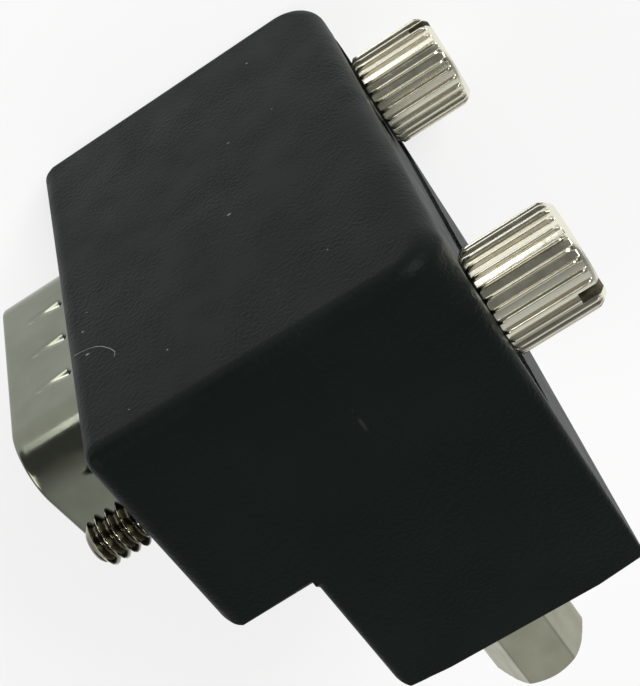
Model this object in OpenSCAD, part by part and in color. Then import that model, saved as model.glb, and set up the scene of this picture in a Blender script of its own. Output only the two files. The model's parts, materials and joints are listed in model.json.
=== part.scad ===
// Right-angle adapter for nine-contact D-shaped connectors: a plug with two
// thumbscrews on one face, and a socket with two jack nuts on the face below it.
// X runs along the plug, which points to -X. The socket points to -Y.
// Z runs from screw to screw, and the adapter lies on its -Z side.
// The origin is the middle of the screw pattern, in the housing's plug face.

/* [Connector pattern] */
// Distance between neighbouring contacts of a row
contact_spacing = 2.77; // [2.7:0.01:2.85]
// Distance between the two rows of contacts
row_gap = 2.84; // [2.7:0.01:3]
// Distance between the two screws of a connector
screw_spacing = 24.99; // [24.5:0.01:26]

/* [Metal shells] */
// Thickness of the shells' sheet metal
sheet_t = 0.45; // [0.3:0.05:0.55]
// From the end contacts to the inside of the plug shell
shell_end_gap = 2.92; // [2.7:0.02:3.2]
// From a contact row to the inside of the plug shell
shell_row_gap = 2.76; // [2.5:0.02:3]
// Corner radius inside the plug shell
shell_corner_r = 2.4; // [1.8:0.1:2.6]
// Slant of the shells' short sides, in degrees
shell_slant = 10; // [6:1:12]
// Gap on each side between a mated plug shell and socket shell
mating_gap = 0.27; // [0.2:0.01:0.35]
// How far the shells stand out of their flanges
shell_reach = 6; // [5.4:0.1:6.4]
// From the plug shell's long sides to the flanges' long edges
flange_lip = 1.15; // [0.9:0.05:1.4]
// From a screw's axis to the flanges' ends
flange_end = 1.95; // [1.8:0.05:2.2]
// Corner radius of the flanges
flange_corner_r = 1; // [0.5:0.1:1.5]
// Width of a screw hole in the flanges
flange_hole_d = 3.1; // [3:0.05:3.3]
// Width of the dimples pressed into the plug shell
dimple_d = 1.6; // [1.2:0.1:2]
// Depth of those dimples
dimple_depth = 0.25; // [0.15:0.05:0.3]
// Distance between neighbouring dimples
dimple_pitch = 3.7; // [3:0.1:4]
// From the plug shell's rim back to the dimples
dimple_inset = 3; // [2.5:0.1:3.5]
// Depth of the rear shells' tubs behind the flanges
tub_depth = 3.4; // [3:0.1:4]
// From the plug shell's inside to the rear tubs' inside
tub_margin = 0.6; // [0.4:0.05:0.8]
// Width of the lip that turns in at the bottom of a rear tub
tub_lip = 1.4; // [1:0.1:1.8]

/* [Insulators] */
// Gap between an insulator and the metal round it
insulator_gap = 0.04; // [0.02:0.01:0.08]
// How far the plug's insulator stands ahead of its flange
plug_insulator_rise = 0.6; // [0.3:0.1:1.2]
// From the socket shell's rim back to its insulator's face
socket_insulator_inset = 0.3; // [0.1:0.1:0.6]
// How far the insulators stand out behind the rear tubs
insulator_tail = 0.7; // [0.4:0.1:1]
// Width of the pin entries in the socket's insulator
entry_d = 1.3; // [1.2:0.05:1.5]
// Thickness of plastic ahead of the socket's contacts
entry_web = 0.5; // [0.3:0.1:0.8]

/* [Contacts] */
// Diameter of a pin
pin_d = 1; // [0.9:0.02:1.1]
// From the plug shell's rim back to the tips of the pins
pin_inset = 0.7; // [0.4:0.1:1.2]
// Outside diameter of a contact's sleeve and solder cup
cup_d = 1.7; // [1.5:0.05:1.9]
// Length of a solder cup behind its insulator
cup_len = 1.9; // [1.5:0.1:2.4]
// Depth of the hole in a solder cup
cup_depth = 1.6; // [1.2:0.1:1.8]
// Diameter of a link wire
link_d = 1; // [0.8:0.05:1.1]
// Radial gap between a wire or pin and the hole it sits in
contact_gap = 0.04; // [0.02:0.01:0.06]
// Bend radius of the inner row of links
link_bend_r = 1.5; // [1.2:0.1:1.8]
// Gap round the cups and links in the housing
channel_gap = 0.3; // [0.2:0.05:0.5]

/* [Housing] */
// From the plug face back to the wall of the notch
plug_block_len = 5.1; // [4.6:0.1:6]
// Width of the socket block, from the notch's wall to the back
socket_block_w = 15.1; // [14:0.1:17]
// From the notch's wall to the middle of the socket
socket_inset = 7; // [6.6:0.1:8]
// From the plug's axis to the socket face
socket_face_drop = 16.6; // [14.5:0.1:19]
// Plastic over the plug flange's long edges
flange_cover = 1.2; // [0.6:0.05:1.5]
// From a screw's axis to the side of the housing, at the plug face
side_margin = 3.5; // [3:0.05:4]
// Taper of each side, which makes the back wider, in degrees
side_taper = 2; // [0.4:0.2:4]
// Thickness of plastic ahead of the plug's flange
front_wall = 0.9; // [0.8:0.1:1.8]
// Radius of the long edges
edge_r = 0.9; // [0.6:0.1:1.4]
// Radius of the block's corners seen from its side
block_corner_r = 1.3; // [0.9:0.1:1.4]
// Radius of the upright corners at the plug face
front_corner_r = 0.8; // [0.5:0.1:1.2]
// Radius of the upright corners at the back
back_corner_r = 2.6; // [1.5:0.1:3]
// Fillet in the notch
notch_r = 0.6; // [0.2:0.1:0.8]
// Depth of the recess in the back that the knobs sit in
recess_depth = 0.25; // [0.2:0.05:0.4]
// From the top face down to the recess
recess_top_margin = 2.4; // [1.8:0.1:3]
// From a screw's axis out to the recess's ends
recess_end = 2.6; // [2.6:0.1:2.9]
// Gap between the moulded plastic and the metal in it
mould_gap = 0.03; // [0.02:0.01:0.05]

/* [Thumbscrews] */
// Outside diameter of the threaded end
thread_d = 2.84; // [2.7:0.02:2.9]
// Length of the threaded end, which stands out of the plug face
thread_len = 3.5; // [2:0.1:4]
// Chamfer at the tip of the thread
thread_chamfer = 0.4; // [0.2:0.05:0.5]
// Diameter of the plain shank
shank_d = 2.5; // [2.3:0.05:2.7]
// Diameter of the bores for the screws
screw_bore_d = 3.1; // [3:0.05:3.3]
// Diameter of the knurled knobs
knob_d = 6.1; // [5.6:0.1:6.5]
// Length of a knob
knob_len = 5.4; // [3.5:0.1:6]
// Gap between a knob and the recess
knob_gap = 0.15; // [0.1:0.05:0.6]
// Number of ridges in the knurl
knurl_count = 28; // [20:1:32]
// Depth of the knurl's grooves
knurl_depth = 0.25; // [0.15:0.05:0.35]
// Chamfer at a knob's ends
knob_chamfer = 0.5; // [0.2:0.05:0.6]
// Width of the screwdriver slot
slot_w = 0.8; // [0.6:0.05:1]
// Depth of the screwdriver slot
slot_depth = 1.3; // [0.6:0.1:1.5]
// Turn of the near thumbscrew's slot, in degrees
near_slot_turn = 15; // [0:1:180]
// Turn of the far thumbscrew's slot, in degrees
far_slot_turn = 87; // [0:1:180]

/* [Retaining clips] */
// Outside diameter of a clip
clip_d = 5.2; // [4.8:0.1:5.4]
// Thickness of a clip
clip_t = 0.6; // [0.5:0.05:0.8]
// Width of a clip's band
clip_band = 0.7; // [0.5:0.05:0.8]
// Width of a clip's mouth
clip_mouth = 2.4; // [2.2:0.1:2.6]
// Width of a clip's prongs
clip_prong = 1; // [0.8:0.1:1.2]
// Diameter of the groove that a clip sits in
clip_groove_d = 1.9; // [1.7:0.05:2.1]
// Gap round a clip in its groove
clip_gap = 0.05; // [0.03:0.01:0.1]
// From the plug face to the clips
clip_x = 8.2; // [7.5:0.1:9]
// How far a thumbscrew can be drawn back
screw_travel = 3; // [2:0.1:4]
// Gap round a clip in its chamber
chamber_gap = 0.25; // [0.2:0.05:0.3]

/* [Jack nuts] */
// Width of a jack nut across its flats
jack_af = 4.95; // [4.7:0.05:5]
// Length of a jack nut's hexagon
jack_len = 6; // [5:0.1:6.2]
// Chamfer round the free end of a jack nut
jack_chamfer = 0.6; // [0.3:0.05:0.7]
// Diameter of the hole, at the crests of its thread
jack_hole_d = 2.26; // [2.1:0.02:2.4]
// Depth of the hole
jack_hole_depth = 4.4; // [4:0.1:5]
// Outside diameter of a clinch nut
clinch_d = 4.4; // [4.2:0.1:4.6]
// Length of a clinch nut
clinch_len = 2.6; // [2:0.1:3]

/* [Hidden] */
$fn = 64;
EPS = 0.01;
FAR = 60;
// How far a D's round corners stand proud of the sides that they meet
PROUD = 0.002;
WIDE_ROW = 5;
NARROW_ROW = 4;
CONTACTS = WIDE_ROW + NARROW_ROW;
PLASTIC = "#2b2e30";
PLATED = "#c9c7bd";
CARRIER = "#191a1c";
GOLD = "#d9b35a";
COPPER = "#c98a55";
STEEL = "#8d8f92";

// Size of the D inside the plug shell, and of the D inside the socket shell
plug_in_w = (WIDE_ROW - 1) * contact_spacing + 2 * shell_end_gap;
plug_in_h = row_gap + 2 * shell_row_gap;
socket_shrink = mating_gap + sheet_t;

// The flanges, and the stack of pieces behind a flange's front face
flange_len = screw_spacing + 2 * flange_end;
flange_h = plug_in_h + 2 * sheet_t + 2 * flange_lip;
flange_stack = 2 * sheet_t;
tub_end = flange_stack + tub_depth;
tub_in_w = plug_in_w + 2 * tub_margin;
tub_in_h = plug_in_h + 2 * tub_margin;
insulator_end = tub_end + insulator_tail;
cup_end = insulator_end + cup_len;

// The housing
plug_block_h = flange_h + 2 * flange_cover;
top_y = plug_block_h / 2;
body_len = plug_block_len + socket_block_w;
socket_x = plug_block_len + socket_inset;
front_half_w = screw_spacing / 2 + side_margin;
back_half_w = front_half_w + body_len * tan(side_taper);
recess_top_y = top_y - recess_top_margin;
recess_low_y = -top_y + flange_cover;

// The links share one centre of bend
bend_x = socket_x - row_gap / 2 - link_bend_r;
bend_y = -row_gap / 2 - link_bend_r;

// The ball that a dimple is part of
dimple_ball_r = (dimple_d * dimple_d / 4 + dimple_depth * dimple_depth) / (2 * dimple_depth);

// The thumbscrews
knob_x = body_len - recess_depth + knob_gap;
clip_bore_d = clip_groove_d + 2 * clip_gap;
groove_w = clip_t + 2 * clip_gap;
chamber_len = clip_t + screw_travel + 2 * chamber_gap;

function is_wide(n) = n <= WIDE_ROW;
// Side of the pattern that a contact is on: +1 for the wide row, -1 for the narrow one
function row_side(n) = is_wide(n) ? 1 : -1;
function contact_z(n) = contact_spacing * (is_wide(n) ? n - (WIDE_ROW + 1) / 2
                                                    : n - WIDE_ROW - (NARROW_ROW + 1) / 2);
function unit(v) = v / norm(v);

// An outline with true round corners, from its corners and their radii, 0 for a sharp corner
module round_corners(points, radii) {
    count = len(points);
    corners = [for (i = [0:count - 1])
        let (here = points[i],
             back = unit(points[(i + count - 1) % count] - here),
             ahead = unit(points[(i + 1) % count] - here),
             half = acos(back * ahead) / 2,
             run = radii[i] / tan(half))
        [here + back * run, here + ahead * run,
         here + unit(back + ahead) * radii[i] / sin(half)]];
    polygon([for (i = [0:count - 1]) each radii[i] > 0 ? [corners[i][0], corners[i][1]] : [points[i]]]);
    for (i = [0:count - 1]) if (radii[i] > 0)
        translate(corners[i][2]) circle(r = radii[i]);
}

// A rectangle centred on the origin with round corners
module round_rect(w, h, r) {
    round_corners([[-w / 2, -h / 2], [w / 2, -h / 2], [w / 2, h / 2], [-w / 2, h / 2]], [r, r, r, r]);
}

// The D of the plug shell's inside, grown by a distance, with its wide side up
module d_outline(grow) {
    r = shell_corner_r;
    rise = plug_in_h / 2 - r;
    wide = plug_in_w / 2 - r;
    narrow = wide - 2 * rise * tan(shell_slant);
    centres = [[-wide, rise], [-narrow, -rise], [narrow, -rise], [wide, rise]];
    count = len(centres);
    normals = [for (i = [0:count - 1])
        let (side = unit(centres[(i + 1) % count] - centres[i])) [side[1], -side[0]]];
    polygon([for (i = [0:count - 1]) each [
        centres[i] + normals[(i + count - 1) % count] * (r + grow),
        centres[i] + normals[i] * (r + grow)]]);
    for (c = centres) translate(c) circle(r = r + grow + PROUD);
}

// The flange's outline, with its two screw holes
module flange_outline(grow, hole_d) {
    difference() {
        round_rect(flange_len + 2 * grow, flange_h + 2 * grow, flange_corner_r + grow);
        for (side = [-1, 1])
            translate([side * screw_spacing / 2, 0]) circle(d = hole_d);
    }
}

// An outline drawn across a connector, run from one depth behind its flange to another
module span(from, to) {
    translate([0, 0, from]) linear_extrude(to - from) children();
}

// A connector is drawn with its flange's front in the XY plane, its long way along X, its
// wide side to +Y and its back to +Z, and then takes its place as the plug or the socket
module in_plug() {
    translate([front_wall, 0, 0]) rotate([0, 90, 0]) children();
}
module in_socket() {
    translate([socket_x, -socket_face_drop, 0]) rotate([-90, -90, 0]) children();
}

// The place of a contact in its connector; the plug faces the other way, so it is flipped
module contact_place(n, flip) {
    translate([flip * contact_z(n), row_side(n) * row_gap / 2, 0]) children();
}

// A screw's own frame, near (+Z) or far (-Z), with its length along its own Z
module at_screw(side) {
    translate([0, 0, side * screw_spacing / 2]) rotate([0, 90, 0]) children();
}
module at_jack(side) {
    translate([socket_x, -socket_face_drop, side * screw_spacing / 2]) rotate([90, 0, 0]) children();
}

// The L of the housing seen from its side
module side_profile() {
    r = block_corner_r;
    round_corners([[0, -top_y], [plug_block_len, -top_y], [plug_block_len, -socket_face_drop],
                   [body_len, -socket_face_drop], [body_len, top_y], [0, top_y]], [r, 0, r, edge_r, r, r]);
    difference() {
        translate([plug_block_len - notch_r, -top_y - notch_r]) square(2 * notch_r);
        translate([plug_block_len - notch_r, -top_y - notch_r]) circle(r = notch_r);
    }
}

// The housing seen from its top face: wider at the back
module plan_profile() {
    round_corners([[0, -front_half_w], [body_len, -back_half_w],
                   [body_len, back_half_w], [0, front_half_w]],
                  [front_corner_r, back_corner_r, back_corner_r, front_corner_r]);
}

// Runs an outline of height (X) and depth from the side face (-Y) along the tapered side
module along_side(length) {
    translate([0, 0, front_half_w]) rotate([0, -side_taper, 0]) rotate([90, 0, 90])
        translate([0, 0, -length]) linear_extrude(2 * length) children();
}

// Everything inside one side face, with its two long edges rounded
module inside_side() {
    r = edge_r;
    along_side(FAR) round_corners([[-socket_face_drop, -FAR], [top_y, -FAR],
                                   [top_y, 0], [-socket_face_drop, 0]], [r, r, r, r]);
}

// The corner that the rounding of the plug block's lower edge takes off one side
module lower_edge_cut() {
    intersection() {
        along_side(FAR) translate([-top_y, 0]) difference() {
            translate([-edge_r, -edge_r]) square(2 * edge_r);
            translate([edge_r, -edge_r]) circle(r = edge_r);
        }
        translate([-FAR, -FAR, 0]) cube([FAR + plug_block_len, 2 * FAR, FAR]);
    }
}

module housing_form() {
    difference() {
        intersection() {
            translate([0, 0, -FAR]) linear_extrude(2 * FAR) side_profile();
            translate([0, FAR, 0]) rotate([90, 0, 0]) linear_extrude(2 * FAR) plan_profile();
            inside_side();
            mirror([0, 0, 1]) inside_side();
        }
        lower_edge_cut();
        mirror([0, 0, 1]) lower_edge_cut();
    }
}

module back_recess() {
    translate([body_len - recess_depth, (recess_top_y + recess_low_y) / 2, 0]) rotate([0, 90, 0])
        linear_extrude(2 * recess_depth)
            round_rect(screw_spacing + 2 * recess_end, recess_top_y - recess_low_y, edge_r);
}

// The room that a connector takes in the moulded plastic, open ahead of its flange by a distance
module connector_room(ahead) {
    span(-ahead, flange_stack + mould_gap)
        round_rect(flange_len + 2 * mould_gap, flange_h + 2 * mould_gap, flange_corner_r + mould_gap);
    span(0, tub_end + mould_gap)
        round_rect(tub_in_w + 2 * sheet_t + 2 * mould_gap, tub_in_h + 2 * sheet_t + 2 * mould_gap,
                   flange_corner_r + sheet_t + mould_gap);
    span(0, insulator_end + mould_gap)
        round_rect(tub_in_w - 2 * tub_lip + 2 * mould_gap, tub_in_h - 2 * tub_lip + 2 * mould_gap,
                   flange_corner_r + mould_gap);
}

// The bent channel for the cups and links between the two connectors
module link_channel() {
    reach = row_gap / 2 + cup_d / 2 + channel_gap;
    half_w = (WIDE_ROW - 1) / 2 * contact_spacing + cup_d / 2 + channel_gap;
    left_x = front_wall + tub_end;
    low_y = -socket_face_drop + tub_end;
    translate([0, 0, -half_w]) linear_extrude(2 * half_w) polygon([
        [left_x, -reach], [socket_x - reach, -reach], [socket_x - reach, low_y],
        [socket_x + reach, low_y], [socket_x + reach, reach], [left_x, reach]]);
}

module housing() {
    color(PLASTIC) difference() {
        housing_form();
        back_recess();
        in_plug() span(-front_wall - EPS, EPS) d_outline(sheet_t + mould_gap);
        in_plug() connector_room(0);
        in_socket() connector_room(EPS);
        link_channel();
        for (side = [-1, 1]) {
            at_screw(side) translate([0, 0, -EPS])
                cylinder(d = screw_bore_d, h = body_len + 2 * EPS);
            at_screw(side) translate([0, 0, clip_x - chamber_gap])
                cylinder(d = clip_d + 2 * chamber_gap, h = chamber_len);
            at_jack(side) translate([0, 0, -flange_stack - clinch_len - mould_gap])
                cylinder(d = clinch_d + 2 * mould_gap, h = clinch_len + flange_stack);
        }
    }
}

// The dimples' shape is part of a ball, pressed in from outside the wall
module dimple_places() {
    for (side = [-1, 1], i = [-1, 0, 1])
        translate([i * dimple_pitch, side * (plug_in_h / 2 + sheet_t + dimple_ball_r - dimple_depth),
                   dimple_inset - shell_reach]) children();
}

module plug_shell() {
    color(PLATED) in_plug() difference() {
        union() {
            difference() {
                union() {
                    span(0, sheet_t) flange_outline(0, flange_hole_d);
                    span(-shell_reach, sheet_t) d_outline(sheet_t);
                }
                span(-shell_reach - EPS, sheet_t + EPS) d_outline(0);
            }
            intersection() {
                dimple_places() sphere(r = dimple_ball_r + sheet_t);
                span(-shell_reach, 0) d_outline(sheet_t / 2);
            }
        }
        dimple_places() sphere(r = dimple_ball_r);
    }
}

module socket_shell() {
    color(PLATED) in_socket() difference() {
        union() {
            span(0, sheet_t) flange_outline(0, flange_hole_d);
            span(-shell_reach, sheet_t) d_outline(-mating_gap);
        }
        span(-shell_reach - EPS, sheet_t + EPS) d_outline(-socket_shrink);
    }
}

// The rear shell: a second flange with a tub that holds the insulator's collar
module rear_shell() {
    color(PLATED) difference() {
        union() {
            span(sheet_t, flange_stack) flange_outline(0, flange_hole_d);
            span(sheet_t, tub_end)
                round_rect(tub_in_w + 2 * sheet_t, tub_in_h + 2 * sheet_t, flange_corner_r + sheet_t);
        }
        span(sheet_t - EPS, tub_end - sheet_t) round_rect(tub_in_w, tub_in_h, flange_corner_r);
        span(0, tub_end + EPS)
            round_rect(tub_in_w - 2 * tub_lip, tub_in_h - 2 * tub_lip, flange_corner_r);
    }
}
module plug_rear_shell() { in_plug() rear_shell(); }
module socket_rear_shell() { in_socket() rear_shell(); }

// The insulator behind a flange: a collar in the tub, and a tail through the tub's bottom
module insulator_back() {
    gap = insulator_gap;
    span(sheet_t, tub_end - sheet_t - gap)
        round_rect(tub_in_w - 2 * gap, tub_in_h - 2 * gap, flange_corner_r - gap);
    span(sheet_t, insulator_end)
        round_rect(tub_in_w - 2 * tub_lip - 2 * gap, tub_in_h - 2 * tub_lip - 2 * gap,
                   flange_corner_r - gap);
}

module plug_insulator() {
    color(CARRIER) in_plug() difference() {
        union() {
            span(-plug_insulator_rise, sheet_t) d_outline(-insulator_gap);
            insulator_back();
        }
        for (n = [1:CONTACTS]) contact_place(n, -1) {
            span(-plug_insulator_rise - EPS, insulator_end) circle(d = pin_d + 2 * contact_gap);
            span(sheet_t - contact_gap, insulator_end + EPS) circle(d = cup_d + 2 * contact_gap);
        }
    }
}

module socket_insulator() {
    face = socket_insulator_inset - shell_reach;
    color(CARRIER) in_socket() difference() {
        union() {
            span(face, sheet_t) d_outline(-socket_shrink - insulator_gap);
            insulator_back();
        }
        for (n = [1:CONTACTS]) contact_place(n, 1) {
            span(face - EPS, insulator_end) circle(d = entry_d);
            span(face + entry_web - contact_gap, insulator_end + EPS)
                circle(d = cup_d + 2 * contact_gap);
        }
    }
}

module plug_pin(n) {
    tip = pin_inset - shell_reach;
    color(GOLD) in_plug() contact_place(n, -1) rotate_extrude() polygon([
        [0, tip], [pin_d / 4, tip], [pin_d / 2, tip + pin_d / 2], [pin_d / 2, sheet_t],
        [cup_d / 2, sheet_t], [cup_d / 2, cup_end], [link_d / 2 + contact_gap, cup_end],
        [link_d / 2 + contact_gap, cup_end - cup_depth], [0, cup_end - cup_depth]]);
}

module socket_contact(n) {
    front = socket_insulator_inset - shell_reach + entry_web;
    bore_r = pin_d / 2 + contact_gap;
    color(GOLD) in_socket() contact_place(n, 1) rotate_extrude() polygon([
        [bore_r, front], [cup_d / 2, front], [cup_d / 2, cup_end],
        [link_d / 2 + contact_gap, cup_end], [link_d / 2 + contact_gap, cup_end - cup_depth],
        [0, cup_end - cup_depth], [0, sheet_t], [bore_r, sheet_t]]);
}

// A link runs back from its pin's cup, bends, and runs down into its contact's cup
module link_wire(n) {
    bend_r = link_bend_r + row_gap / 2 + row_side(n) * row_gap / 2;
    start_x = front_wall + cup_end - cup_depth;
    end_y = -socket_face_drop + cup_end - cup_depth;
    color(COPPER) translate([bend_x, bend_y, contact_z(n)]) {
        rotate_extrude(angle = 90) translate([bend_r, 0]) circle(d = link_d);
        translate([start_x - bend_x, bend_r, 0]) rotate([0, 90, 0])
            cylinder(d = link_d, h = bend_x - start_x);
        translate([bend_r, 0, 0]) rotate([90, 0, 0])
            cylinder(d = link_d, h = bend_y - end_y);
    }
}

// The knurl's outline: flat-topped ridges with grooves between them
module knurl_outline() {
    step = 360 / knurl_count;
    polygon([for (i = [0:knurl_count - 1], p = [[0, -knurl_depth], [0.3, 0], [0.7, 0]])
        let (r = knob_d / 2 + p[1], a = (i + p[0]) * step) [r * cos(a), r * sin(a)]]);
}

module knob(slot_turn) {
    r = knob_d / 2;
    c = knob_chamfer;
    difference() {
        intersection() {
            linear_extrude(knob_len) knurl_outline();
            rotate_extrude() polygon([[0, 0], [r - c, 0], [r + c, 2 * c], [r + c, knob_len - 2 * c],
                                      [r - c, knob_len], [0, knob_len]]);
        }
        rotate([0, 0, slot_turn]) translate([-knob_d, -slot_w / 2, knob_len - slot_depth])
            cube([2 * knob_d, slot_w, slot_depth + EPS]);
    }
}

// A turned screw: threaded end, plain shank with the clip's groove, and the knob
module thumbscrew(side, slot_turn) {
    thread_r = thread_d / 2;
    shank_r = shank_d / 2;
    groove_r = clip_groove_d / 2;
    groove_x = clip_x - clip_gap;
    tip_x = -thread_len;
    color(PLATED) at_screw(side) {
        rotate_extrude() polygon([
            [0, tip_x], [thread_r - thread_chamfer, tip_x],
            [thread_r, tip_x + thread_chamfer], [thread_r, 0],
            [shank_r, 0], [shank_r, groove_x], [groove_r, groove_x],
            [groove_r, groove_x + groove_w], [shank_r, groove_x + groove_w],
            [shank_r, knob_x + knob_len / 2], [0, knob_x + knob_len / 2]]);
        translate([0, 0, knob_x]) knob(slot_turn);
    }
}
module near_thumbscrew() { thumbscrew(1, near_slot_turn); }
module far_thumbscrew() { thumbscrew(-1, far_slot_turn); }

// A spring clip: an open ring with three prongs that reach into the screw's groove
module retaining_clip(side) {
    color(STEEL) at_screw(side) translate([0, 0, clip_x]) linear_extrude(clip_t) {
        difference() {
            circle(d = clip_d);
            circle(d = clip_d - 2 * clip_band);
            translate([-clip_mouth / 2, 0]) square([clip_mouth, clip_d]);
        }
        difference() {
            intersection() {
                circle(d = clip_d - clip_band);
                for (turn = [-90, -200, 20]) rotate([0, 0, turn])
                    translate([0, -clip_prong / 2]) square([clip_d, clip_prong]);
            }
            circle(d = clip_bore_d);
        }
    }
}
module near_retaining_clip() { retaining_clip(1); }
module far_retaining_clip() { retaining_clip(-1); }

// A hexagonal jack nut with a threaded stud behind the flange
module jack_nut(side) {
    corner_r = jack_af / sqrt(3);
    c = jack_chamfer;
    stud_len = flange_stack + clinch_len;
    color(PLATED) at_jack(side) difference() {
        union() {
            intersection() {
                cylinder(r = corner_r, h = jack_len, $fn = 6);
                rotate_extrude() polygon([[0, 0], [corner_r + c, 0], [corner_r + c, jack_len - 2 * c],
                                          [corner_r - c, jack_len], [0, jack_len]]);
            }
            translate([0, 0, -stud_len]) cylinder(d = thread_d, h = stud_len + EPS);
        }
        translate([0, 0, jack_len - jack_hole_depth]) cylinder(d = jack_hole_d, h = jack_hole_depth + EPS);
    }
}
module near_jack_nut() { jack_nut(1); }
module far_jack_nut() { jack_nut(-1); }

module clinch_nut(side) {
    color(PLATED) at_jack(side) translate([0, 0, -flange_stack - clinch_len]) difference() {
        cylinder(d = clinch_d, h = clinch_len);
        translate([0, 0, -EPS]) cylinder(d = thread_d + 2 * contact_gap, h = clinch_len + 2 * EPS);
    }
}
module near_clinch_nut() { clinch_nut(1); }
module far_clinch_nut() { clinch_nut(-1); }

housing();
plug_shell();
plug_rear_shell();
plug_insulator();
socket_shell();
socket_rear_shell();
socket_insulator();
for (n = [1:CONTACTS]) {
    plug_pin(n);
    socket_contact(n);
    link_wire(n);
}
near_thumbscrew();
far_thumbscrew();
near_retaining_clip();
far_retaining_clip();
near_jack_nut();
far_jack_nut();
near_clinch_nut();
far_clinch_nut();
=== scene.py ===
# %% [markdown]
# # Dressing a right-angle d-sub adapter
#
# The adapter is a small black block that turns a serial connector through a right angle. The CAD
# frame already has every solid in its place, in metres, so this lesson only adds what a solid can't
# show: threads, knurls, pressed sheet metal and finishes. The box of the CAD model is kept from the
# start, because the dressed model has to stay inside it.

# %% Load the frame and keep its box
import json
import math

import bmesh
import bpy
from mathutils import Matrix, Vector
from mathutils.bvhtree import BVHTree


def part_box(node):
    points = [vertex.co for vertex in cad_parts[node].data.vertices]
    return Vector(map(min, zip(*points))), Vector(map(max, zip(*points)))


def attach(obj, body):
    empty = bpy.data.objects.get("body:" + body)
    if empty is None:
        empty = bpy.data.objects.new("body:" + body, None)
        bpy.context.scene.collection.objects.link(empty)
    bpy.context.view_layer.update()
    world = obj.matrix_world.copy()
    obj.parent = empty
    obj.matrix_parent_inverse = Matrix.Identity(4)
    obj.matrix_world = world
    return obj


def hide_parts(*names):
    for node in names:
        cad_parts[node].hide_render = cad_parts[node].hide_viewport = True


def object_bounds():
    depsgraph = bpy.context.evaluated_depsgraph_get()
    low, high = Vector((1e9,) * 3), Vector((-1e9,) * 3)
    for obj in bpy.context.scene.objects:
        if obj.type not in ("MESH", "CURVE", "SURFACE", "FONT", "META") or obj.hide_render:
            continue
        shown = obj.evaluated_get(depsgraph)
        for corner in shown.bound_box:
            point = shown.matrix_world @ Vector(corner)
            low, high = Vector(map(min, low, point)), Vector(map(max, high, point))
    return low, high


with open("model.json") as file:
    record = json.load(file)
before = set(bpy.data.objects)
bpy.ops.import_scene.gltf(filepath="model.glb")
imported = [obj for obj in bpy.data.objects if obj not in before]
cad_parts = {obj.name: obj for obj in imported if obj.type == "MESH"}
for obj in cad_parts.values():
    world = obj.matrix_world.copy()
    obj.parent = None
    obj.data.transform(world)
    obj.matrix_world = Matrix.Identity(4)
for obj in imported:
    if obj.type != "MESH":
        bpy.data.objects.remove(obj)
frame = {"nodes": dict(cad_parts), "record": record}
MM = 0.001
cad_box = [list(corner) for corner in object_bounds()]
print("CAD box in mm:", [[round(v / MM, 2) for v in corner] for corner in cad_box])

# %% [markdown]
# ## The camera
#
# A photograph's camera could be matched by eye, by dragging it about. Here its place and its three
# axes were worked out from the block's straight edges and the known distance between the screws, so
# they are simply written down. The photograph is taller than it is wide, and Blender fits the sensor
# to the longer side, so the lens follows from the picture's height.

# %% Place the camera
camera_place = Vector((23.122, 48.586, 82.202)) * MM
camera_right = Vector((0.84184, -0.50303, 0.19559))
camera_up = Vector((0.52395, 0.67473, -0.51983))
camera_back = Vector((0.12952, 0.54009, 0.83158))

camera_data = bpy.data.cameras.new("photo_camera")
camera_data.sensor_width = 36.0
camera_data.lens = 89.156
camera_data.clip_start = 0.005
camera_data.clip_end = 20.0
camera = bpy.data.objects.new("photo_camera", camera_data)
bpy.context.scene.collection.objects.link(camera)
camera_turn = Matrix((camera_right, camera_up, camera_back)).transposed()
camera.matrix_world = Matrix.Translation(camera_place) @ camera_turn.to_4x4()
bpy.context.scene.camera = camera
print("camera", [round(v / MM, 1) for v in camera_place], "mm, lens", camera_data.lens, "mm")

# %% [markdown]
# ## Working with nodes
#
# The floor, the sky and every finish are small graphs of nodes. They could be wired by hand in the
# shader editor. In a script a few helpers for sums, ranges and ramps keep each graph short, and each
# of them returns the socket that the next step starts from.

# %% Helpers for nodes
def calculated(tree, operation, *values):
    """The result of a math node on these values, each of them a socket or a number."""
    node = tree.nodes.new("ShaderNodeMath")
    node.operation = operation
    for socket, value in zip(node.inputs, values):
        if isinstance(value, float):
            socket.default_value = value
        else:
            tree.links.new(value, socket)
    return node.outputs["Value"]


def between(tree, value, low, high, start=0.3, end=0.7):
    """Spreads a value that runs from start to end between two other numbers."""
    spread = tree.nodes.new("ShaderNodeMapRange")
    for socket, number in (("From Min", start), ("From Max", end), ("To Min", low), ("To Max", high)):
        spread.inputs[socket].default_value = number
    tree.links.new(value, spread.inputs["Value"])
    return spread.outputs["Result"]


def tinted(tree, value, stops):
    """Colours a value by a ramp of (place, colour) stops."""
    ramp = tree.nodes.new("ShaderNodeValToRGB")
    while len(ramp.color_ramp.elements) < len(stops):
        ramp.color_ramp.elements.new(0.5)
    for element, (place, colour) in zip(ramp.color_ramp.elements, stops):
        element.position = place
        element.color = (*colour, 1.0)
    tree.links.new(value, ramp.inputs["Fac"])
    return ramp.outputs["Color"]


print("node helpers ready")

# %% [markdown]
# ## Floor, lamps and sky
#
# The adapter lies on one of its sides on white paper. Shiny metal shows what stands round it more
# than the light that falls on it, so the three soft lamps stand to the right, to the left and low
# down facing the top face, out of the mirror's way, and light the paper too. The sky is graded: it is
# dim on the side where the photographer stands and lighter overhead and beyond, which gives the knobs
# and shells their dark and light bands. The paper is lifted towards white where the camera or a
# mirror sees it, so that the shadow stays soft and no more light falls on the adapter.

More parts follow.
